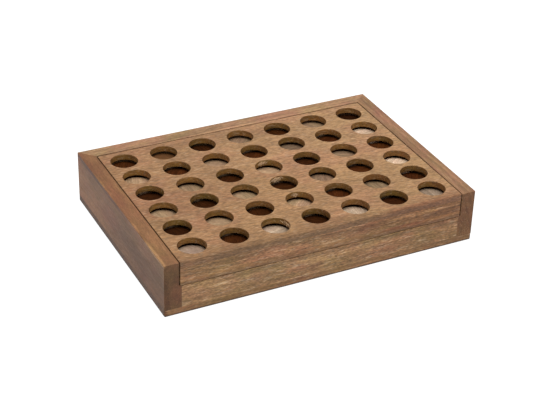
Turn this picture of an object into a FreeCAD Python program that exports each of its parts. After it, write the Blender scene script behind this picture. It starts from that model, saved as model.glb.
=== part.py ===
import FreeCAD, Part
import Sketcher

import os

# A wooden four-in-a-row game, closed up for storage and lying flat.
#
# An open-fronted tray (base panel, two side rails, a back rail and a low front
# rail) carries the playing rack. The rack is two bored panels held apart by
# strips that make one channel for each column of discs. It lies on a ledge that
# runs round the inside of the rails, with its closed bottom edge flush with the
# front of the tray and its open edge, where the discs go in, against the back
# rail. The discs fill the channels, light and dark by turns.
#
# Millimetres. +Z is up, X runs along the long side, -Y is the low front. The
# origin is the middle of the tray's underside.

# Driving sizes. Everything else is worked out from these.
sizes = {
    "columns": 7,
    "rows": 6,
    # one disc, and the room that it has along, across and through its channel
    "disc_diameter": 30.3,
    "disc_thickness": 7.8,
    "stack_play": 0.6,
    "side_play": 0.9,
    "depth_play": 3.2,
    # the rack's two panels and the strips between them
    "panel_thickness": 6.0,
    "sight_hole": 25.0,
    "divider_width": 7.6,
    "divider_taper": 6.0,
    "divider_tip": 5.0,
    "end_strip_width": 3.7,
    "bottom_strip_width": 4.6,
    "open_lip": 1.6,
    "rack_corner": 1.0,
    "rack_edge": 0.5,
    # the tray
    "rail_thickness": 15.7,
    "front_rail_thickness": 16.0,
    "front_rail_gap": 0.5,
    "ledge_width": 2.3,
    "rack_side_gap": 0.9,
    "rack_back_gap": 1.4,
    "compartment_depth": 21.5,
    "base_thickness": 6.5,
    "base_round": 1.1,
    "base_corner": 1.2,
    "corner_round": 0.5,
    "mitre_cut": 0.8,
    "outer_round": 0.5,
    "inner_round": 0.4,
}

# Sizes that follow, in the order in which they depend on each other.
following = {
    "row_pitch": "disc_diameter + stack_play",
    "channel_width": "disc_diameter + side_play",
    "channel_depth": "disc_thickness + depth_play",
    "column_pitch": "channel_width + divider_width",
    "channel_length": "rows * row_pitch + open_lip",
    "rack_length": "columns * column_pitch - divider_width + 2 * end_strip_width",
    "rack_width": "bottom_strip_width + channel_length",
    "rack_thickness": "2 * panel_thickness + channel_depth",
    "first_column": "end_strip_width + channel_width / 2",
    "first_row": "bottom_strip_width + row_pitch / 2",
    "rail_top": "rail_thickness - ledge_width",
    "box_length": "rack_length + 2 * rack_side_gap + 2 * rail_top",
    "box_width": "rack_width + rack_back_gap + rail_top",
    "rail_height": "compartment_depth + rack_thickness",
    "ledge_height": "base_thickness + compartment_depth",
    "front_rail_height": "compartment_depth - front_rail_gap",
    "left": "-box_length / 2",
    "front": "-box_width / 2",
    "rack_left": "-rack_length / 2",
    "channel_floor": "ledge_height + panel_thickness",
    "channel_roof": "channel_floor + channel_depth",
}

doc = FreeCAD.newDocument("FourInARow")
sheet = doc.addObject("Spreadsheet::Sheet", "Sizes")
row = 1
for name, number in sizes.items():
    sheet.set(f"A{row}", name)
    sheet.set(f"B{row}", str(number))
    sheet.setAlias(f"B{row}", name)
    row += 1
for name, rule in following.items():
    sheet.set(f"A{row}", name)
    sheet.set(f"B{row}", "=" + rule)
    sheet.setAlias(f"B{row}", name)
    row += 1
doc.recompute()


# A rule is written with bare size names. This ties each name to the sheet.
def tied(rule):
    words = []
    word = ""
    for letter in rule + " ":
        if letter.isalnum() or letter == "_":
            word += letter
        else:
            known = word in sizes or word in following
            words.append("Sizes." + word if known else word)
            words.append(letter)
            word = ""
    return "".join(words).strip()


def value(rule):
    return float(sheet.evalExpression(tied(rule)))


def new_piece(label, x="0", y="0", z="0"):
    piece = doc.addObject("PartDesign::Body", label)
    piece.Label = label
    for axis, rule in (("x", x), ("y", y), ("z", z)):
        piece.setExpression("Placement.Base." + axis, tied(rule))
    return piece


def new_sketch(piece, role, name):
    sketch = piece.newObject("Sketcher::SketchObject", name)
    plane = [part for part in piece.Origin.OriginFeatures if part.Role == role]
    sketch.AttachmentSupport = [(plane[0], "")]
    sketch.MapMode = "FlatFace"
    return sketch


# Holds one point of a sketch at two rules, measured from the sketch's origin.
def hold(sketch, geometry, point, x, y):
    for kind, rule in (("DistanceX", x), ("DistanceY", y)):
        number = value(rule)
        held = Sketcher.Constraint(kind, -1, 1, geometry, point, number)
        index = sketch.addConstraint(held)
        sketch.setExpression(f"Constraints[{index}]", tied(rule))


# A closed outline of straight sides, each corner given by two rules.
def draw_outline(sketch, corners):
    points = [FreeCAD.Vector(value(x), value(y), 0) for x, y in corners]
    count = len(points)
    for index in range(count):
        side = Part.LineSegment(points[index], points[(index + 1) % count])
        sketch.addGeometry(side, False)
    for index in range(count):
        joined = Sketcher.Constraint("Coincident", index, 2, (index + 1) % count, 1)
        sketch.addConstraint(joined)
    for index, (x, y) in enumerate(corners):
        hold(sketch, index, 1, x, y)


def draw_rectangle(sketch, x_low, y_low, x_high, y_high):
    corners = [(x_low, y_low), (x_high, y_low), (x_high, y_high), (x_low, y_high)]
    draw_outline(sketch, corners)


def draw_circle(sketch, x, y, diameter):
    centre = FreeCAD.Vector(value(x), value(y), 0)
    circle = Part.Circle(centre, FreeCAD.Vector(0, 0, 1), value(diameter) / 2)
    index = sketch.addGeometry(circle, False)
    hold(sketch, index, 3, x, y)
    wide = sketch.addConstraint(Sketcher.Constraint("Diameter", index, value(diameter)))
    sketch.setExpression(f"Constraints[{wide}]", tied(diameter))


def pad(piece, sketch, name, length):
    feature = piece.newObject("PartDesign::Pad", name)
    feature.Profile = sketch
    feature.setExpression("Length", tied(length))
    sketch.Visibility = False
    doc.recompute()
    return feature


# Cuts a sketch through the whole piece, and makes sure that it cut something.
def cut_through(piece, sketch, name):
    before = piece.Shape.Volume
    feature = piece.newObject("PartDesign::Pocket", name)
    feature.Profile = sketch
    feature.Type = "ThroughAll"
    feature.Midplane = True
    doc.recompute()
    if piece.Shape.Volume > before - 1:
        raise RuntimeError(f"{piece.Label}: {name} cut nothing")
    return feature


# The names of the edges that lie in all the planes given, each as (axis, rule).
def edges_in(feature, *planes):
    wanted = [("xyz".index(axis), value(rule)) for axis, rule in planes]
    names = []
    for number, edge in enumerate(feature.Shape.Edges, 1):
        points = [vertex.Point for vertex in edge.Vertexes]
        middle = edge.valueAt((edge.FirstParameter + edge.LastParameter) / 2)
        points.append(middle)
        if all(abs(point[axis] - at) < 1e-4 for point in points for axis, at in wanted):
            names.append(f"Edge{number}")
    if not names:
        raise RuntimeError(f"{feature.Label}: no edge where one is wanted")
    return names


def round_edges(piece, feature, name, edges, radius):
    rounded = piece.newObject("PartDesign::Fillet", name)
    rounded.Base = (feature, edges)
    rounded.setExpression("Radius", tied(radius))
    doc.recompute()
    return rounded


# The base panel lies under all four rails and is flush with them outside. Its
# lower edge is worked round all the way.
def make_base_panel():
    piece = new_piece("base_panel")
    sketch = new_sketch(piece, "XY_Plane", "base_outline")
    draw_rectangle(sketch, "left", "front", "-left", "-front")
    board = pad(piece, sketch, "base_board", "base_thickness")
    corners = []
    for x in ("left", "-left"):
        for y in ("front", "-front"):
            corners += edges_in(board, ("x", x), ("y", y))
    rounded = round_edges(piece, board, "base_corners", corners, "base_corner")
    lower = edges_in(rounded, ("z", "0"))
    round_edges(piece, rounded, "base_lower_round", lower, "base_round")


# A side rail: full height, square at the front where its end grain shows,
# mitred into the back rail, with the rack's ledge cut down its inner face.
# side is -1 for the left rail and 1 for the right, seen from the front.
def make_side_rail(label, side):
    inward = "-1" if side > 0 else "1"
    outer = "-left" if side > 0 else "left"
    piece = new_piece(label, outer, "front", "base_thickness")
    plan = new_sketch(piece, "XY_Plane", label + "_plan")
    draw_outline(plan, [
        ("0", "0"),
        (inward + " * rail_thickness", "0"),
        (inward + " * rail_thickness", "box_width - rail_thickness"),
        (inward + " * mitre_cut / 2", "box_width - mitre_cut / 2"),
        ("0", "box_width - mitre_cut"),
    ])
    pad(piece, plan, label + "_stock", "rail_height")
    section = new_sketch(piece, "XZ_Plane", label + "_section")
    near = inward + " * rail_top"
    far = inward + " * rail_thickness"
    draw_rectangle(section, near, "compartment_depth", far, "rail_height")
    ledge = cut_through(piece, section, label + "_ledge")
    corner = edges_in(ledge, ("x", "0"), ("y", "0"))
    rounded = round_edges(piece, ledge, label + "_corner", corner, "corner_round")
    outside = edges_in(rounded, ("z", "rail_height"), ("x", "0"))
    eased = round_edges(piece, rounded, label + "_ease", outside, "outer_round")
    inside = edges_in(eased, ("z", "rail_height"), ("x", near))
    round_edges(piece, eased, label + "_inner_ease", inside, "inner_round")


# The back rail is mitred into both side rails. It is a plain board, no thicker
# than the side rails are above their ledge.
def make_back_rail():
    piece = new_piece("back_rail", "left", "-front", "base_thickness")
    plan = new_sketch(piece, "XY_Plane", "back_rail_plan")
    draw_outline(plan, [
        ("mitre_cut / 2", "-mitre_cut / 2"),
        ("rail_top", "-rail_top"),
        ("box_length - rail_top", "-rail_top"),
        ("box_length - mitre_cut / 2", "-mitre_cut / 2"),
        ("box_length - mitre_cut", "0"),
        ("mitre_cut", "0"),
    ])
    stock = pad(piece, plan, "back_rail_stock", "rail_height")
    outside = edges_in(stock, ("z", "rail_height"), ("y", "0"))
    eased = round_edges(piece, stock, "back_rail_ease", outside, "outer_round")
    inside = edges_in(eased, ("z", "rail_height"), ("y", "-rail_top"))
    round_edges(piece, eased, "back_rail_inner_ease", inside, "inner_round")


# The strip glued along the foot of the back rail carries the rack there. Its
# ends are mitred against the ledges of the side rails.
def make_back_ledge():
    piece = new_piece("back_ledge", "left", "-front", "base_thickness")
    plan = new_sketch(piece, "XY_Plane", "back_ledge_plan")
    draw_outline(plan, [
        ("rail_top", "-rail_top"),
        ("rail_thickness", "-rail_thickness"),
        ("box_length - rail_thickness", "-rail_thickness"),
        ("box_length - rail_top", "-rail_top"),
    ])
    pad(piece, plan, "back_ledge_stock", "compartment_depth")


# The front rail stops just short of the ledge's height, so that the rack's
# closed edge shows above it, with a thin gap between.
def make_front_rail():
    piece = new_piece("front_rail", "left + rail_thickness", "front", "base_thickness")
    plan = new_sketch(piece, "XY_Plane", "front_rail_plan")
    length = "box_length - 2 * rail_thickness"
    draw_rectangle(plan, "0", "0", length, "front_rail_thickness")
    stock = pad(piece, plan, "front_rail_stock", "front_rail_height")
    upper = edges_in(stock, ("z", "front_rail_height"), ("y", "0"))
    round_edges(piece, stock, "front_rail_ease", upper, "inner_round")


# One of the rack's two panels, bored right through on the discs' centres. The
# show face, with the eased border, is up on the front panel and down on the
# back one.
def make_rack_panel(label, floor, show_face):
    piece = new_piece(label, "rack_left", "front", floor)
    plan = new_sketch(piece, "XY_Plane", label + "_plan")
    draw_rectangle(plan, "0", "0", "rack_length", "rack_width")
    board = pad(piece, plan, label + "_board", "panel_thickness")
    corners = []
    for x in ("0", "rack_length"):
        for y in ("0", "rack_width"):
            corners += edges_in(board, ("x", x), ("y", y))
    rounded = round_edges(piece, board, label + "_corners", corners, "rack_corner")
    border = edges_in(rounded, ("z", show_face))
    round_edges(piece, rounded, label + "_border", border, "rack_edge")
    holes = new_sketch(piece, "XY_Plane", label + "_first_holes")
    for index in range(int(value("rows"))):
        draw_circle(holes, "first_column", f"first_row + {index} * row_pitch", "sight_hole")
    bored = cut_through(piece, holes, label + "_bores")
    pattern = piece.newObject("PartDesign::LinearPattern", label + "_columns")
    pattern.Originals = [bored]
    pattern.Direction = (holes, ["H_Axis"])
    pattern.setExpression("Length", tied("(columns - 1) * column_pitch"))
    pattern.setExpression("Occurrences", tied("columns"))
    piece.Tip = pattern


# The strip that closes the channels at the bottom of the rack. It is as long
# as the panels, and its outer corners are rounded with theirs.
def make_bottom_strip():
    piece = new_piece("bottom_strip", "rack_left", "front", "channel_floor")
    plan = new_sketch(piece, "XY_Plane", "bottom_strip_plan")
    draw_rectangle(plan, "0", "0", "rack_length", "bottom_strip_width")
    strip = pad(piece, plan, "bottom_strip_stock", "channel_depth")
    outer = edges_in(strip, ("x", "0"), ("y", "0"))
    outer += edges_in(strip, ("x", "rack_length"), ("y", "0"))
    round_edges(piece, strip, "bottom_strip_corners", outer, "rack_corner")


# The strip at each end of the rack, from the bottom strip to the open edge.
def make_end_strip(label, side):
    x = "-rack_left - end_strip_width" if side > 0 else "rack_left"
    outer = "end_strip_width" if side > 0 else "0"
    piece = new_piece(label, x, "front + bottom_strip_width", "channel_floor")
    plan = new_sketch(piece, "XY_Plane", label + "_plan")
    draw_rectangle(plan, "0", "0", "end_strip_width", "channel_length")
    strip = pad(piece, plan, label + "_stock", "channel_depth")
    corner = edges_in(strip, ("x", outer), ("y", "channel_length"))
    round_edges(piece, strip, label + "_corner", corner, "rack_corner")


# A divider between two columns. Its open end is tapered, so that a disc that
# is dropped in a little to one side still finds its channel.
def make_divider(number):
    label = f"divider_{number}"
    x = f"rack_left + first_column + channel_width / 2 + {number - 1} * column_pitch"
    piece = new_piece(label, x, "front + bottom_strip_width", "channel_floor")
    plan = new_sketch(piece, "XY_Plane", label + "_plan")
    draw_outline(plan, [
        ("0", "0"),
        ("divider_width", "0"),
        ("divider_width", "channel_length - divider_taper"),
        ("(divider_width + divider_tip) / 2", "channel_length"),
        ("(divider_width - divider_tip) / 2", "channel_length"),
        ("0", "channel_length - divider_taper"),
    ])
    pad(piece, plan, label + "_stock", "channel_depth")


# A disc lies on the back panel, in the middle of its sight hole. Row 1 is the
# lowest in play, at the front of the tray, and column 1 is at the left.
def make_disc(column, line):
    label = f"disc_col{column}_row{line}"
    x = f"rack_left + first_column + {column - 1} * column_pitch"
    y = f"front + first_row + {line - 1} * row_pitch"
    piece = new_piece(label, x, y, "channel_floor")
    profile = new_sketch(piece, "XZ_Plane", label + "_profile")
    draw_rectangle(profile, "0", "0", "disc_diameter / 2", "disc_thickness")
    turned = piece.newObject("PartDesign::Revolution", label + "_turned")
    turned.Profile = profile
    turned.ReferenceAxis = (profile, ["V_Axis"])
    turned.Angle = 360


make_base_panel()
make_side_rail("left_side_rail", -1)
make_side_rail("right_side_rail", 1)
make_back_rail()
make_back_ledge()
make_front_rail()
make_rack_panel("rack_front_panel", "channel_roof", "panel_thickness")
make_rack_panel("rack_back_panel", "ledge_height", "0")
make_bottom_strip()
make_end_strip("left_end_strip", -1)
make_end_strip("right_end_strip", 1)
for number in range(1, int(value("columns"))):
    make_divider(number)
for column in range(1, int(value("columns")) + 1):
    for line in range(1, int(value("rows")) + 1):
        make_disc(column, line)
doc.recompute()

for thing in doc.Objects:
    if "Invalid" in thing.State or "Error" in thing.State:
        raise RuntimeError(f"{thing.Label} did not build: {thing.State}")
pieces = [thing for thing in doc.Objects if thing.TypeId == "PartDesign::Body"]
for piece in pieces:
    if piece.Shape.isNull() or not piece.Shape.isValid() or len(piece.Shape.Solids) != 1:
        raise RuntimeError(f"{piece.Label} is not one sound solid")

os.makedirs("parts", exist_ok=True)
for piece in pieces:
    piece.Shape.exportStep(f"parts/{piece.Label}.step")
print(f"{len(pieces)} pieces, {value('box_length'):.1f} x {value('box_width'):.1f}"
      f" x {value('ledge_height + rack_thickness'):.1f} mm")
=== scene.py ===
import math
import random

import bmesh
import bpy
from mathutils import Matrix, Vector


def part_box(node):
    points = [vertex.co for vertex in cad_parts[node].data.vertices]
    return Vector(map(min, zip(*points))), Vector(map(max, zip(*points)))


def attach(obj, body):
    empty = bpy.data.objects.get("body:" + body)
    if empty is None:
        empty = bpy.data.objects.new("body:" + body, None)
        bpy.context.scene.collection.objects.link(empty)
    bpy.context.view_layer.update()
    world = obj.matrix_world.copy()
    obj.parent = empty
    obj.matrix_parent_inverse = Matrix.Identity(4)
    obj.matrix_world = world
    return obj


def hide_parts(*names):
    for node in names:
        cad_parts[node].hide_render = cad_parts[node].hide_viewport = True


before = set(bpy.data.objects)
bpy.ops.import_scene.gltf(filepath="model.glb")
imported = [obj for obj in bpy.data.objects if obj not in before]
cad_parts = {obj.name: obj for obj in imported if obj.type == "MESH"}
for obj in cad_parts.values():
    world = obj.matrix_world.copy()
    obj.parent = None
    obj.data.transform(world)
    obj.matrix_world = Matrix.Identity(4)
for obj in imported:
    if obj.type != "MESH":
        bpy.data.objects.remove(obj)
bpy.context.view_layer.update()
mm = 0.001
print("frame loaded,", len(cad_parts), "nodes")


# sRGB hex to the linear values that a colour socket takes
def linearColour(hexColour):
    channels = []
    for start in (1, 3, 5):
        level = int(hexColour[start:start + 2], 16) / 255
        channels.append(level / 12.92 if level <= 0.04045 else ((level + 0.055) / 1.055) ** 2.4)
    return (*channels, 1)


def addNode(tree, kind, settings=None, inputs=None):
    node = tree.nodes.new("ShaderNode" + kind)
    for name, value in (settings or {}).items():
        setattr(node, name, value)
    for socket, value in (inputs or {}).items():
        if isinstance(value, bpy.types.NodeSocket):
            tree.links.new(value, node.inputs[socket])
        else:
            node.inputs[socket].default_value = value
    return node


# Rain tree wood, sawn, sanded and thinly oiled: a soft brown with faint growth
# bands, short fibres, open pores drawn out along the grain, and pinkish and
# olive clouds. End grain is darker. Lengths are in millimetres.
def makeWood(name, wood):
    material = bpy.data.materials.new(name)
    material.use_nodes = True
    tree = material.node_tree
    tree.nodes.clear()
    if "placeFrom" in wood:
        place = addNode(tree, "Attribute", {"attribute_name": wood["placeFrom"]}).outputs["Vector"]
    else:
        place = addNode(tree, "TexCoord").outputs["Object"]
    board = addNode(tree, "Mapping", None, {
        "Vector": place,
        "Location": wood["shift"],
        "Rotation": (0, 0, math.radians(wood["turn"])),
        "Scale": (1000, 1000, 1000),
    }).outputs[0]

    # the fibres wander a little from straight
    drift = addNode(tree, "VectorMath", {"operation": "MULTIPLY"}, {
        0: board, 1: (1 / 60, 1 / 22, 1 / 22)}).outputs[0]
    driftNoise = addNode(tree, "TexNoise", None, {
        "Vector": drift, "Scale": 1, "Detail": 2, "Roughness": 0.5}).outputs["Color"]
    driftCentred = addNode(tree, "VectorMath", {"operation": "SUBTRACT"}, {
        0: driftNoise, 1: (0.5, 0.5, 0.5)}).outputs[0]
    wander = addNode(tree, "VectorMath", {"operation": "MULTIPLY_ADD"}, {
        0: driftCentred, 1: (0, wood["wander"], wood["wander"]), 2: board}).outputs[0]

    # growth bands round a pith that lies outside the board
    fromPith = addNode(tree, "VectorMath", {"operation": "SUBTRACT"}, {
        0: wander, 1: (0, *wood["pith"])}).outputs[0]
    acrossPith = addNode(tree, "VectorMath", {"operation": "MULTIPLY"}, {
        0: fromPith, 1: (0, 1, 1)}).outputs[0]
    radius = addNode(tree, "VectorMath", {"operation": "LENGTH"}, {0: acrossPith}).outputs["Value"]
    bandNoise = addNode(tree, "TexNoise", {"noise_dimensions": "1D"}, {
        "W": radius, "Scale": 1 / wood["band"], "Detail": 3, "Roughness": 0.6}).outputs["Fac"]
    bandTone = addNode(tree, "MapRange", None, {
        "Value": bandNoise, "From Min": 0.3, "From Max": 0.7,
        "To Min": 1 - wood["bandAmount"], "To Max": 1 + wood["bandAmount"]}).outputs[0]

    # fibres, 0.2 mm wide on the real wood, drawn at about 1 mm so that they show
    fibrePlace = addNode(tree, "VectorMath", {"operation": "DIVIDE"}, {
        0: wander, 1: wood["fibreSize"]}).outputs[0]
    fibres = addNode(tree, "TexNoise", None, {
        "Vector": fibrePlace, "Scale": 1, "Detail": 4, "Roughness": 0.75}).outputs["Fac"]
    fibreTone = addNode(tree, "MapRange", None, {
        "Value": fibres, "From Min": 0.3, "From Max": 0.7,
        "To Min": 1 - wood["fibreAmount"], "To Max": 1 + wood["fibreAmount"]}).outputs[0]

    # short light and dark specks where the fibres come up to the surface
    speckPlace = addNode(tree, "VectorMath", {"operation": "DIVIDE"}, {
        0: board, 1: wood["speckSize"]}).outputs[0]
    specks = addNode(tree, "TexNoise", None, {
        "Vector": speckPlace, "Scale": 1, "Detail": 2, "Roughness": 0.5}).outputs["Fac"]
    speckTone = addNode(tree, "MapRange", None, {
        "Value": specks, "From Min": 0.3, "From Max": 0.7,
        "To Min": 1 - wood["speckAmount"], "To Max": 1 + wood["speckAmount"]}).outputs[0]

    # pores, 0.15 mm wide on the real wood, drawn at 0.5 mm
    porePlace = addNode(tree, "VectorMath", {"operation": "MULTIPLY"}, {
        0: wander, 1: (1 / 5, 1 / 1.5, 1 / 1.5)}).outputs[0]
    poreCells = addNode(tree, "TexVoronoi", {"feature": "F1"}, {
        "Vector": porePlace, "Scale": 1, "Randomness": 1}).outputs["Distance"]
    pores = addNode(tree, "MapRange", {"interpolation_type": "SMOOTHSTEP"}, {
        "Value": poreCells, "From Min": 0.32, "From Max": 0.12}).outputs[0]
    poreTone = addNode(tree, "MapRange", None, {
        "Value": pores, "To Min": 1, "To Max": 1 - wood["poreAmount"]}).outputs[0]

    # pale flecks where the saw cut across the rays
    fleckPlace = addNode(tree, "VectorMath", {"operation": "DIVIDE"}, {
        0: wander, 1: wood["fleckSize"]}).outputs[0]
    fleckNoise = addNode(tree, "TexNoise", None, {
        "Vector": fleckPlace, "Scale": 1, "Detail": 2, "Roughness": 0.6}).outputs["Fac"]
    flecks = addNode(tree, "MapRange", {"interpolation_type": "SMOOTHSTEP"}, {
        "Value": fleckNoise, "From Min": 0.5, "From Max": 0.72,
        "To Max": wood["fleckAmount"]}).outputs[0]

    # clouds of other colour, and broad ribbons of lighter and darker wood
    cloudPlace = addNode(tree, "VectorMath", {"operation": "DIVIDE"}, {
        0: wander, 1: wood["cloudSize"]}).outputs[0]
    clouds = addNode(tree, "TexNoise", None, {
        "Vector": cloudPlace, "Scale": 1, "Detail": 3, "Roughness": 0.6}).outputs["Color"]
    cloudParts = addNode(tree, "SeparateColor", None, {"Color": clouds})
    blush = addNode(tree, "MapRange", {"interpolation_type": "SMOOTHSTEP"}, {
        "Value": cloudParts.outputs[0], "From Min": 0.42, "From Max": 0.66,
        "To Max": wood["blushAmount"]}).outputs[0]
    olive = addNode(tree, "MapRange", {"interpolation_type": "SMOOTHSTEP"}, {
        "Value": cloudParts.outputs[1], "From Min": 0.44, "From Max": 0.68,
        "To Max": wood["oliveAmount"]}).outputs[0]
    cloudTone = addNode(tree, "MapRange", None, {
        "Value": cloudParts.outputs[2], "From Min": 0.3, "From Max": 0.7,
        "To Min": 1 - wood["cloudAmount"], "To Max": 1 + wood["cloudAmount"]}).outputs[0]
    ribbonPlace = addNode(tree, "VectorMath", {"operation": "MULTIPLY"}, {
        0: wander, 1: (1 / 70, 1 / 5, 1 / 5)}).outputs[0]
    ribbons = addNode(tree, "TexNoise", None, {
        "Vector": ribbonPlace, "Scale": 1, "Detail": 2, "Roughness": 0.5}).outputs["Fac"]
    ribbonTone = addNode(tree, "MapRange", None, {
        "Value": ribbons, "From Min": 0.3, "From Max": 0.7,
        "To Min": 1 - wood["ribbonAmount"], "To Max": 1 + wood["ribbonAmount"]}).outputs[0]

    # the board's colour, which changes a little from its one end to the other
    alongBoard = addNode(tree, "SeparateXYZ", None, {0: board}).outputs[0]
    fade = addNode(tree, "MapRange", None, {
        "Value": alongBoard, "From Min": wood["shift"][0] - wood["reach"],
        "From Max": wood["shift"][0] + wood["reach"]}).outputs[0]
    colour = addNode(tree, "Mix", {"data_type": "RGBA"}, {
        0: fade, 6: linearColour(wood["tone"]), 7: linearColour(wood["farTone"])}).outputs[2]

    # how squarely the surface cuts across the grain
    facing = addNode(tree, "TexCoord").outputs["Normal"]
    turn = math.radians(wood["turn"])
    along = addNode(tree, "VectorMath", {"operation": "DOT_PRODUCT"}, {
        0: facing, 1: (math.cos(turn), -math.sin(turn), 0)}).outputs["Value"]
    squarely = addNode(tree, "Math", {"operation": "ABSOLUTE"}, {0: along}).outputs[0]
    endGrain = addNode(tree, "MapRange", {"interpolation_type": "SMOOTHSTEP"}, {
        "Value": squarely, "From Min": 0.35, "From Max": 0.95}).outputs[0]
    for amount, tint in ((blush, "blush"), (olive, "olive"), (endGrain, "endTint")):
        colour = addNode(tree, "Mix", {"data_type": "RGBA", "blend_type": "MULTIPLY"}, {
            0: amount, 6: colour, 7: linearColour(wood[tint])}).outputs[2]

    colour = addNode(tree, "Mix", {"data_type": "RGBA"}, {
        0: flecks, 6: colour, 7: linearColour(wood["fleck"])}).outputs[2]

    # streaks, stains and worn patches, and ovals of painted shade and painted light, each an oval of this
    # board with ragged sides
    for streak in wood["streaks"]:
        fromStreak = addNode(tree, "VectorMath", {"operation": "SUBTRACT"}, {
            0: place, 1: [mm * part for part in streak["at"]]}).outputs[0]
        inReach = addNode(tree, "VectorMath", {"operation": "DIVIDE"}, {
            0: fromStreak, 1: [mm * part for part in streak["reach"]]}).outputs[0]
        howFar = addNode(tree, "VectorMath", {"operation": "LENGTH"}, {0: inReach}).outputs["Value"]
        frayed = addNode(tree, "MapRange", None, {
            "Value": fibres, "From Min": 0.3, "From Max": 0.7,
            "To Min": -0.15, "To Max": 0.15}).outputs[0]
        ragged = addNode(tree, "Math", {"operation": "ADD"}, {0: howFar, 1: frayed}).outputs[0]
        amount = addNode(tree, "MapRange", {"interpolation_type": "SMOOTHSTEP"}, {
            "Value": ragged, "From Min": 0.5, "From Max": 1.1,
            "To Min": 1, "To Max": 0}).outputs[0]
        colour = addNode(tree, "Mix", {"data_type": "RGBA", "blend_type": "MULTIPLY"}, {
            0: amount, 6: colour, 7: (*streak["tint"], 1)}).outputs[2]

    # saw marks across the end grain, about 1.2 mm apart
    sawMarks = addNode(tree, "TexWave", {"bands_direction": "Z"}, {
        "Vector": board, "Scale": 0.25, "Distortion": 2, "Detail": 2, "Detail Scale": 0.4}).outputs["Fac"]
    sawn = addNode(tree, "Math", {"operation": "MULTIPLY"}, {0: sawMarks, 1: endGrain}).outputs[0]
    sawTone = addNode(tree, "MapRange", None, {
        "Value": sawn, "To Min": 1, "To Max": 1 - wood["sawAmount"]}).outputs[0]

    tones = [bandTone, fibreTone, speckTone, poreTone, ribbonTone, cloudTone, sawTone]
    if "toneFrom" in wood:
        tones.append(addNode(tree, "Attribute", {"attribute_name": wood["toneFrom"]}).outputs["Fac"])
    tone = tones[0]
    for other in tones[1:]:
        tone = addNode(tree, "Math", {"operation": "MULTIPLY"}, {0: tone, 1: other}).outputs[0]
    toned = addNode(tree, "VectorMath", {"operation": "SCALE"}, {
        0: colour, "Scale": tone}).outputs[0]

    roughness = addNode(tree, "MapRange", None, {
        "Value": fibres, "From Min": 0.3, "From Max": 0.7,
        "To Min": wood["roughness"] + 0.06, "To Max": wood["roughness"] - 0.06}).outputs[0]
    relief = addNode(tree, "Math", {"operation": "SUBTRACT"}, {
        0: fibres, 1: pores}).outputs[0]
    bump = addNode(tree, "Bump", None, {
        "Strength": 0.4, "Distance": 0.15 * mm, "Height": relief}).outputs[0]
    shader = addNode(tree, "BsdfPrincipled", None, {
        "Base Color": toned, "Roughness": roughness, "Normal": bump,
        "IOR": 1.5, "Specular IOR Level": wood["sheen"]})
    addNode(tree, "OutputMaterial", None, {"Surface": shader.outputs[0]})
    return material


plainWood = {
    "turn": 0,  # degrees from the long side to the grain
    "shift": (0, 0, 0),
    "reach": 140,
    "pith": (35, -60),
    "wander": 5,
    "tone": "#866240",
    "farTone": "#8E6D49",
    "blush": "#FFEAFC",
    "olive": "#F0FFEA",
    "endTint": "#D3D3D0",
    "blushAmount": 0.8,
    "oliveAmount": 0.7,
    "band": 4,
    "bandAmount": 0.14,
    "ribbonAmount": 0.2,
    "fibreSize": (14, 1.5, 1.5),
    "fibreAmount": 0.22,
    "speckSize": (3.2, 0.9, 0.9),
    "speckAmount": 0.22,
    "poreAmount": 0.25,
    "fleck": "#B49C80",
    "fleckSize": (7, 1.4, 1.4),
    "fleckAmount": 0.3,
    "cloudSize": (45, 20, 20),
    "cloudAmount": 0.08,
    "sawAmount": 0.12,
    "streaks": [],
    "roughness": 0.55,
    "sheen": 0.25,
}

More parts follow.
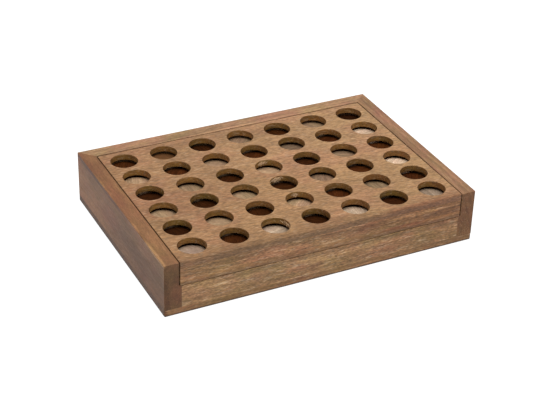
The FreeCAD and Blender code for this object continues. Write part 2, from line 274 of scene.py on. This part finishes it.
woods = {
    "baseWood": dict(
        plainWood, shift=(40, 13, 7), pith=(-80, -45), tone="#7E5B38", farTone="#7E5A37",
        # painted shade: the lowest 2.4 mm of the base darker all round, and its left side darker, where
        # the floor's shadow would fall
        streaks=[dict(at=(0, 0, 0), reach=(2000, 2000, 2.4), tint=(0.3, 0.27, 0.25)),
                 dict(at=(-151, 0, 2), reach=(5, 400, 10), tint=(0.56, 0.42, 0.31))]),
    "leftRailWood": dict(
        plainWood, turn=90, shift=(170, -31, 5), reach=100, pith=(60, -30),
        tone="#6E4B30", farTone="#6D4C30", fleck="#8A6A4C", endTint="#E0DBD1",
        fibreAmount=0.16, speckAmount=0.16, fleckAmount=0.15, poreAmount=0.15, ribbonAmount=0.07,
        bandAmount=0.08, cloudSize=(60, 25, 25), cloudAmount=0.2,
        streaks=[dict(at=(-151, 50, 48.6), reach=(4, 85, 2.6), tint=(0.55, 0.48, 0.48)),
                 dict(at=(-149.6, -86, 51), reach=(2.4, 28, 3), tint=(1.6, 1.75, 1.85)),
                 dict(at=(-149.6, -38, 51), reach=(2, 10, 2), tint=(1.4, 1.45, 1.45)),
                 dict(at=(-149.8, 35, 51), reach=(1.8, 26, 2), tint=(1.3, 1.35, 1.3)),
                 # painted light: the back part of the left face lighter
                 dict(at=(-150, 100, 14), reach=(6, 90, 34), tint=(1.12, 1.1, 1.08)),
                 # painted shade: the front and lower part of the left face darker
                 dict(at=(-150, -95, 14), reach=(6, 130, 34), tint=(0.72, 0.65, 0.56))]),
    "rightRailWood": dict(
        plainWood, turn=90, shift=(-90, 57, 15), reach=100, pith=(-50, -40),
        tone="#7E5C42", farTone="#7E5C42", endTint="#D8C4A6",
        fibreAmount=0.2, speckAmount=0.1, fleckAmount=0.15, poreAmount=0.12, ribbonAmount=0.18),
    "backRailWood": dict(
        plainWood, shift=(310, 77, -20), pith=(20, -70), tone="#876749", farTone="#8C6B4D",
        fibreAmount=0.2, speckAmount=0.22, fleckAmount=0.2, poreAmount=0.2, cloudAmount=0.12),
    "frontRailWood": dict(
        plainWood, shift=(-120, 143, 31), pith=(25, 40), tone="#856642", farTone="#7F5D3C",
        ribbonAmount=0.24, fibreAmount=0.34, fibreSize=(20, 1.3, 1.3), speckAmount=0.4,
        fleckAmount=0.36, fleckSize=(11, 1.5, 1.5), poreAmount=0.35,
        streaks=[dict(at=(-85, -103, 18), reach=(52, 4, 5), tint=(1.2, 1.24, 1.3)),
                 dict(at=(-10, -103, 22), reach=(80, 4, 6), tint=(1.16, 1.2, 1.24)),
                 dict(at=(95, -103, 17), reach=(60, 4, 9), tint=(1.1, 1.1, 1.08))]),
    "rackPanelWood": dict(
        plainWood, turn=6, shift=(15, -9, 44), pith=(10, -120), wander=2.5,
        tone="#7E5C3D", farTone="#8C6B48", fibreSize=(17, 1.3, 1.3), fibreAmount=0.17,
        speckSize=(3.6, 0.9, 0.9), speckAmount=0.34, poreAmount=0.2, fleckAmount=0.25,
        ribbonAmount=0.12, bandAmount=0.08, blushAmount=0.55, oliveAmount=0.15,
        cloudSize=(55, 38, 38), cloudAmount=0.11,
        streaks=[dict(at=(45, 75, 51), reach=(210, 90, 9), tint=(1.06, 1.08, 1.13)),
                 # painted shade: the top darker along its front edge, as the rounded edge turns from the
                 # light
                 dict(at=(-105, -100, 51), reach=(75, 10, 6), tint=(0.86, 0.86, 0.84)),
                 dict(at=(40, -103.5, 49), reach=(230, 8.5, 9), tint=(0.8, 0.79, 0.77)),
                 dict(at=(95, -103.5, 45), reach=(78, 5, 12), tint=(0.86, 0.74, 0.72))]),
    "rackBackWood": dict(
        plainWood, shift=(515, 63, 91), pith=(-30, -90), tone="#7A5A39", farTone="#775639",
        streaks=[dict(at=(95, -103.5, 40), reach=(78, 5, 14), tint=(0.86, 0.76, 0.74))]),
    "rackStripWood": dict(
        plainWood, shift=(222, 41, -66), pith=(15, 30), tone="#7A5A39", farTone="#775639",
        ribbonAmount=0.28, bandAmount=0.2, fibreAmount=0.34, fibreSize=(20, 1.3, 1.3),
        speckAmount=0.44, fleckAmount=0.3, fleckSize=(11, 1.5, 1.5),
        streaks=[dict(at=(0, -103.5, 38), reach=(70, 5, 16), tint=(1.1, 1.12, 1.12)),
                 dict(at=(95, -103.5, 42), reach=(78, 5, 12), tint=(0.88, 0.76, 0.72)),
                 dict(at=(98, -103, 41.6), reach=(52, 3, 1.6), tint=(1.5, 1.6, 1.65)),
                 dict(at=(-19.5, -103, 34), reach=(1, 3, 1), tint=(0.3, 0.3, 0.3))]),
    # painted shade: a darker, redder tone for the dividers, to deepen the shade seen under the panel
    # through the holes
    "dividerWood": dict(
        plainWood, turn=90, shift=(-33, 5, 71), pith=(40, 40), tone="#76502F", farTone="#76502F"),
}
woodOf = {
    "base_panel": "baseWood",
    "left_side_rail": "leftRailWood",
    "right_side_rail": "rightRailWood",
    "back_rail": "backRailWood",
    "back_ledge": "backRailWood",
    "front_rail": "frontRailWood",
    "rack_back_panel": "rackBackWood",
    "bottom_strip": "rackStripWood",
    "left_end_strip": "dividerWood",
    "right_end_strip": "dividerWood",
}
for number in range(1, 7):
    woodOf[f"divider_{number}"] = "dividerWood"
materials = {name: makeWood(name, wood) for name, wood in woods.items()}
for node, wood in woodOf.items():
    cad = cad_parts[node]
    cad.data.materials.clear()
    cad.data.materials.append(materials[wood])
print("wood on the tray and the rack's strips")


# bore walls: cut across and along the fibres by the bit, darker and more olive
boreWood = makeWood("boredWallWood", dict(
    plainWood, shift=(15, -9, 44), tone="#815A2B", farTone="#81592B",
    endTint="#EEE4DC", blushAmount=0.5, oliveAmount=1, speckAmount=0.2, roughness=0.6, sheen=0.3,
    streaks=[  # browner where the bit rubbed near the face, paler and greyer below
        dict(at=(0, 0, 51), reach=(2000, 2000, 3.2), tint=(0.84, 0.85, 0.86)),
        dict(at=(0, 0, 46.2), reach=(2000, 2000, 2.4), tint=(1.06, 1.12, 1.16)),
    ]))

# the rows and columns of holes are where the discs are
discNames = sorted(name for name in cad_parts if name.startswith("disc_"))
discPlaces = {name: sum(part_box(name), Vector()) / 2 for name in discNames}


def finishPiece(board, name, body, replaced, slotMaterials):
    mesh = bpy.data.meshes.new(name)
    board.to_mesh(mesh)
    board.free()
    piece = bpy.data.objects.new(name, mesh)
    bpy.context.scene.collection.objects.link(piece)
    for material in slotMaterials:
        mesh.materials.append(material)
    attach(piece, body)
    if replaced:
        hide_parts(*replaced)
    return piece


boredPanel = {
    "holeRadius": 12.5 * mm,
    "sides": 14,  # of each quarter of a hole
    "ease": 0.45 * mm,
    "corner": 1.0 * mm,
}


# One cell of the sheet for each hole, the middle of the cell drawn in to the
# hole's quarter points, and its four sides divided and bowed out to the circle.
def makeBoredPanel(name, node, woodName, showFace):
    low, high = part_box(node)
    sheet = bmesh.new()
    bmesh.ops.create_grid(sheet, x_segments=1, y_segments=1, size=0.5)
    bmesh.ops.scale(sheet, vec=(high.x - low.x, high.y - low.y, 1), verts=sheet.verts)
    middle = (low + high) / 2
    bmesh.ops.translate(sheet, vec=(middle.x, middle.y, high.z), verts=sheet.verts)
    columns = sorted({round(place.x, 5) for place in discPlaces.values()})
    rows = sorted({round(place.y, 5) for place in discPlaces.values()})
    for places, normal in ((columns, Vector((1, 0, 0))), (rows, Vector((0, 1, 0)))):
        for here, there in zip(places, places[1:]):
            bmesh.ops.bisect_plane(
                sheet, geom=sheet.verts[:] + sheet.edges[:] + sheet.faces[:],
                plane_co=normal * (here + there) / 2, plane_no=normal)
    cells = sheet.faces[:]
    bmesh.ops.inset_individual(sheet, faces=cells, thickness=2 * mm)
    radius = boredPanel["holeRadius"]
    quarter = radius * math.sqrt(0.5)
    for cell in cells:
        centre = cell.calc_center_median()
        hole = Vector((
            min(columns, key=lambda x: abs(x - centre.x)),
            min(rows, key=lambda y: abs(y - centre.y)), high.z))
        for corner in cell.verts:
            corner.co.x = hole.x + math.copysign(quarter, corner.co.x - hole.x)
            corner.co.y = hole.y + math.copysign(quarter, corner.co.y - hole.y)
        rim = list(cell.edges)
        sheet.faces.remove(cell)
        divided = bmesh.ops.bisect_edges(sheet, edges=rim, cuts=boredPanel["sides"] - 1)
        for point in [part for part in divided["geom_split"] if isinstance(part, bmesh.types.BMVert)]:
            out = point.co - hole
            turn = math.radians(45) * min(abs(out.x), abs(out.y)) / quarter
            near, far = radius * math.sin(turn), radius * math.cos(turn)
            if abs(out.x) > abs(out.y):
                near, far = far, near
            point.co.x = hole.x + math.copysign(near, out.x)
            point.co.y = hole.y + math.copysign(far, out.y)
    thick = bmesh.ops.extrude_face_region(sheet, geom=sheet.faces[:])
    lower = [part for part in thick["geom"] if isinstance(part, bmesh.types.BMVert)]
    bmesh.ops.translate(sheet, vec=(0, 0, low.z - high.z), verts=lower)
    bmesh.ops.recalc_face_normals(sheet, faces=sheet.faces[:])

    def fromHole(point):
        x = min(abs(point.x - x) for x in columns)
        y = min(abs(point.y - y) for y in rows)
        return math.hypot(x, y)

    upright = [edge for edge in sheet.edges
               if abs(edge.verts[0].co.z - edge.verts[1].co.z) > 1 * mm
               and all(abs(abs(vert.co.x - middle.x) - (high.x - low.x) / 2) < 0.01 * mm
                       and abs(abs(vert.co.y - middle.y) - (high.y - low.y) / 2) < 0.01 * mm
                       for vert in edge.verts)]
    bmesh.ops.bevel(sheet, geom=upright, offset=boredPanel["corner"], offset_type="OFFSET",
                    segments=3, profile=0.5, affect="EDGES", material=-1)
    showHeight = high.z if showFace == "up" else low.z
    rims = []
    borders = []
    for edge in sheet.edges:
        if len(edge.link_faces) != 2 or edge.calc_face_angle(0) < math.radians(60):
            continue
        if abs(edge.verts[0].co.z - edge.verts[1].co.z) > 0.01 * mm:
            continue
        if all(fromHole(vert.co) < radius + 0.01 * mm for vert in edge.verts):
            rims.append(edge)
        elif abs(edge.verts[0].co.z - showHeight) < 0.01 * mm:
            borders.append(edge)
    bmesh.ops.bevel(sheet, geom=rims + borders, offset=boredPanel["ease"], offset_type="OFFSET",
                    segments=3, profile=0.5, affect="EDGES", material=-1)
    for face in sheet.faces:
        centre = face.calc_center_median()
        if abs(face.normal.z) < 0.98:
            face.smooth = True
        if fromHole(centre) < radius + 0.02 * mm and abs(face.normal.z) < 0.3:
            face.material_index = 1
    print(name, len(sheet.faces), "faces,", len(rims), "rim edges")
    return finishPiece(sheet, name, "rack", [node], [materials[woodName], boreWood])


makeBoredPanel("boredFrontPanel", "rack_front_panel", "rackPanelWood", "up")
makeBoredPanel("boredBackPanel", "rack_back_panel", "rackBackWood", "down")

# Where the bit tore the grain, pale fibres stand off the walls of a few holes.
frayed = {
    "places": [  # angle from the back of the hole, leftwards positive, and how far it spreads
        dict(disc="disc_col4_row4", angle=7, spread=9, count=80),
        dict(disc="disc_col4_row3", angle=12, spread=13, count=130),
        dict(disc="disc_col4_row2", angle=-6, spread=6, count=50),
        dict(disc="disc_col3_row1", angle=-75, spread=16, count=30),
    ],
    "length": (1.5, 3.8),
    "thickness": 0.42,
    "under": 1.9,  # so that no fibre stands above the face
    "depth": 1.2,
}
fibreWood = makeWood("frayedFibreWood", dict(
    plainWood, tone="#D2B28C", farTone="#D2B28C", endTint="#FFFFFF", blushAmount=0, oliveAmount=0,
    roughness=0.8, sheen=0.05))
tearDice = random.Random(7)
panelLow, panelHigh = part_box("rack_front_panel")
for torn in frayed["places"]:
    hole = discPlaces[torn["disc"]]
    tuft = bmesh.new()
    for number in range(torn["count"]):
        sliver = bmesh.ops.create_cone(
            tuft, cap_ends=True, segments=5, depth=tearDice.uniform(*frayed["length"]) * mm,
            radius1=frayed["thickness"] * mm / 2, radius2=frayed["thickness"] * mm / 6)["verts"]
        lean = Matrix.Rotation(tearDice.uniform(-1.1, 1.1), 3, "Y") @ Matrix.Rotation(
            tearDice.uniform(0.05, 0.3), 3, "X")
        angle = math.radians(tearDice.gauss(torn["angle"], torn["spread"]))
        out = boredPanel["holeRadius"] - 0.3 * mm
        place = Vector((
            hole.x, hole.y,
            panelHigh.z - (frayed["under"] + abs(tearDice.gauss(0, frayed["depth"]))) * mm))
        bmesh.ops.rotate(tuft, matrix=lean, verts=sliver)
        bmesh.ops.translate(tuft, vec=(0, out, 0), verts=sliver)
        bmesh.ops.rotate(tuft, matrix=Matrix.Rotation(angle, 3, "Z"), verts=sliver)
        bmesh.ops.translate(tuft, vec=place, verts=sliver)
    finishPiece(tuft, torn["disc"].replace("disc_", "frayedFibres_"), "rack",
                [], [fibreWood])
print("frayed fibres in", len(frayed["places"]), "holes")

# the discs: turned from round rod, flat faced, with a rubbed down edge
paleWood = dict(
    plainWood, pith=(20, -25), band=2, wander=2, tone="#856C52", farTone="#856C52",
    endTint="#FFFFFF", fleck="#B7A48E", blushAmount=0.45, oliveAmount=0.3, speckAmount=0.15, fibreAmount=0.2, poreAmount=0.2, fleckAmount=0.15,
    roughness=0.6, sheen=0.2, placeFrom="grainPlace", toneFrom="ownTone")
lightWood = makeWood("paleDiscWood", paleWood)
# a whiter, greyer copy of the pale wood: painted light on the discs of the front row and the right column
paintedLitDiscWood = makeWood("paintedLightDiscWood", dict(
    paleWood, tone="#86735F", farTone="#86735F", fleck="#CFC0AE", fleckSize=(3.5, 1.3, 1.3),
    fleckAmount=0.22, oliveAmount=0.1))
brownWood = makeWood("brownDiscWood", dict(
    paleWood, tone="#55381C", farTone="#55381C", fleck="#7A5C40"))
darkWood = makeWood("stainedDiscWood", dict(
    paleWood, tone="#371B08", farTone="#371B08", fleck="#5A3216", fibreAmount=0.35,
    speckAmount=0.25, poreAmount=0.4, sheen=0.03))

disc = {
    "sides": 56,
    "edge": 0.7 * mm,
    "edgeSteps": 3,
    "paleSpread": 0.35,
    "darkSpread": 0.4,
    "brownOne": "disc_col2_row6",
    # tones set disc by disc; the raised ones in the front row and the right column are painted light as
    # well as the discs' own tone
    "oddOnes": {"disc_col1_row1": 1.0, "disc_col2_row6": 1.0, "disc_col5_row1": 1.4,
                "disc_col5_row5": 0.55, "disc_col7_row3": 2.1, "disc_col7_row5": 1.7,
                "disc_col7_row6": 0.45},
}
dice = random.Random(42)
for name in discNames:
    low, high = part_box(name)
    place = (low + high) / 2
    turned = bmesh.new()
    bmesh.ops.create_cone(
        turned, cap_ends=True, segments=disc["sides"], depth=high.z - low.z,
        radius1=(high.x - low.x) / 2, radius2=(high.x - low.x) / 2)
    rims = [edge for edge in turned.edges
            if abs(edge.verts[0].co.z - edge.verts[1].co.z) < 0.01 * mm]
    bmesh.ops.bevel(turned, geom=rims, offset=disc["edge"], offset_type="OFFSET",
                    segments=disc["edgeSteps"], profile=0.5, affect="EDGES", material=-1)
    grainPlace = turned.verts.layers.float_vector.new("grainPlace")
    ownTone = turned.verts.layers.float.new("ownTone")
    grain = Matrix.Rotation(dice.uniform(0, math.tau), 3, "Z")
    cutFrom = Vector([dice.uniform(-0.4, 0.4) for axis in range(3)])
    column, row = int(name[8]), int(name[-1])
    dark = (column + row) % 2 == 1
    tone = 1 + dice.uniform(-1, 1) * disc["darkSpread" if dark else "paleSpread"]
    tone = disc["oddOnes"].get(name, tone)
    for vert in turned.verts:
        vert[grainPlace] = grain @ vert.co + cutFrom
        vert[ownTone] = tone
    for face in turned.faces:
        face.smooth = abs(face.normal.z) < 0.98
    bmesh.ops.translate(turned, vec=place, verts=turned.verts)
    # the light discs in the front row and the right column get a whiter, greyer copy of the pale wood as
    # painted light, and one is brown
    wood = darkWood if dark else paintedLitDiscWood if row == 1 or column == 7 else lightWood
    if name == disc["brownOne"]:
        wood = brownWood
    finishPiece(turned, name.replace("disc_", "turnedDisc_"), f"column_{column}_discs",
                [name], [wood])
print("discs turned:", len(discNames))

# the photograph's camera
photoCamera = {
    "aim": Vector((-0.109, -5.485, 17.373)) * mm,
    "distance": 1352.611 * mm,
    "azimuth": math.radians(-27.211),
    "elevation": math.radians(31.360),
    "roll": math.radians(1.862),
    "lens": 96.949,
    "sensor": 36,
}
azimuth, elevation = photoCamera["azimuth"], photoCamera["elevation"]
back = Vector((math.sin(azimuth) * math.cos(elevation),
               -math.cos(azimuth) * math.cos(elevation), math.sin(elevation)))
level = Vector((0, 0, 1)).cross(back).normalized()
upright = back.cross(level)
right = level * math.cos(photoCamera["roll"]) + upright * math.sin(photoCamera["roll"])
up = upright * math.cos(photoCamera["roll"]) - level * math.sin(photoCamera["roll"])
lens = bpy.data.cameras.new("photoCamera")
lens.sensor_fit = "HORIZONTAL"
lens.sensor_width = photoCamera["sensor"]
lens.lens = photoCamera["lens"]
lens.clip_start = 0.05
lens.clip_end = 30
camera = bpy.data.objects.new("photoCamera", lens)
bpy.context.scene.collection.objects.link(camera)
stand = Matrix((right, up, back)).transposed().to_4x4()
stand.translation = photoCamera["aim"] + back * photoCamera["distance"]
camera.matrix_world = stand
bpy.context.scene.camera = camera

# a white paper ground under a large soft light
studio = {
    "ground": "#808080",
    "groundGlow": 0.86,
    "groundGap": 0.1 * mm,  # so that it isn't in one plane with the underside
    "sky": 0.5,
    "lampSize": 2.0,
    "lampHeight": 2.0,
    "lampPower": 64,
    "lampAside": Vector((-0.15, -0.45, 0)),
}
ground = bmesh.new()
bmesh.ops.create_grid(ground, x_segments=1, y_segments=1, size=4)
bmesh.ops.translate(ground, vec=(0, 0, -studio["groundGap"]), verts=ground.verts)
groundMesh = bpy.data.meshes.new("ground")
ground.to_mesh(groundMesh)
ground.free()
floor = bpy.data.objects.new("ground", groundMesh)
bpy.context.scene.collection.objects.link(floor)
paper = bpy.data.materials.new("groundPaper")
paper.use_nodes = True
paper.node_tree.nodes.clear()
paperShader = addNode(paper.node_tree, "BsdfPrincipled", None, {
    "Base Color": linearColour(studio["ground"]), "Roughness": 0.9, "Specular IOR Level": 0.1,
    "Emission Color": (1, 1, 1, 1), "Emission Strength": studio["groundGlow"]})
addNode(paper.node_tree, "OutputMaterial", None, {"Surface": paperShader.outputs[0]})
groundMesh.materials.append(paper)

world = bpy.data.worlds.new("softSky")
world.use_nodes = True
world.node_tree.nodes["Background"].inputs["Color"].default_value = (1, 1, 1, 1)
world.node_tree.nodes["Background"].inputs["Strength"].default_value = studio["sky"]
bpy.context.scene.world = world
lampData = bpy.data.lights.new("softbox", "AREA")
lampData.shape = "SQUARE"
lampData.size = studio["lampSize"]
lampData.energy = studio["lampPower"]
lamp = bpy.data.objects.new("softbox", lampData)
bpy.context.scene.collection.objects.link(lamp)
lampPlace = studio["lampAside"] + Vector((0, 0, studio["lampHeight"]))
lamp.matrix_world = Matrix.Translation(lampPlace) @ lampPlace.to_track_quat("Z", "Y").to_matrix().to_4x4()
bpy.context.scene.view_settings.view_transform = "Standard"
print("camera and light set")
